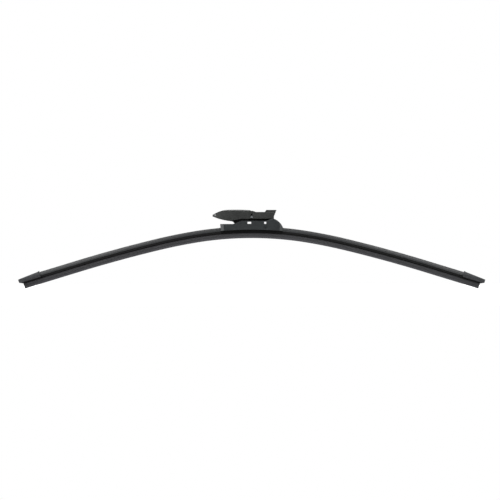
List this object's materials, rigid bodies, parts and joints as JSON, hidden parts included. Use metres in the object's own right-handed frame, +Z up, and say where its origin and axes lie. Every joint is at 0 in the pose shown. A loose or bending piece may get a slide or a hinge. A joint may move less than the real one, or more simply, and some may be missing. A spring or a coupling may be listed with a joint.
{
  "type": "wiper blade",
  "caption": "Arched flat wiper blade with a sprung rubber, split wind spoiler, end caps and a pivoting hook adapter under a hinged nose cover.",
  "frame": {"origin": "axis of the pivot rivet at mid blade, where the arm's hook goes round the adapter's boss", "axes": "+X along the blade towards the side that the arm comes from, +Y across the blade, +Z up away from the glass"},
  "size_m": [0.6008, 0.019, 0.1015],
  "materials": {
    "wiping_rubber": "matte graphite coated rubber",
    "spoiler_rubber": "satin extruded elastomer",
    "spring_steel": "black coated spring strip",
    "rivet_steel": "plain turned steel",
    "carrier_plastic": "moulded, satin",
    "adapter_plastic": "moulded, fine grain",
    "cap_plastic": "moulded, fine grain"
  },
  "bodies": {
    "adapter": {"adapter_body": "adapter_plastic"},
    "blade": {"carrier": "carrier_plastic", "pivot_rivet": "rivet_steel", "wiper_rubber": "wiping_rubber", "spring_rail_front": "spring_steel", "spring_rail_rear": "spring_steel", "spoiler_left": "spoiler_rubber", "spoiler_right": "spoiler_rubber", "end_cap_left": "cap_plastic", "end_cap_right": "cap_plastic"},
    "cover": {"nose_cover": "adapter_plastic"}
  },
  "joints": [
    {"name": "blade_pivot", "type": "hinge", "parent": "adapter", "child": "blade", "pos_m": [0, 0, 0], "axis": [0, 1, 0], "range_deg": [-12, 6]},
    {"name": "cover_hinge", "type": "hinge", "parent": "adapter", "child": "cover", "pos_m": [-0.0032, 0, 0.0053], "axis": [0, 1, 0], "range_deg": [0, 75]}
  ]
}
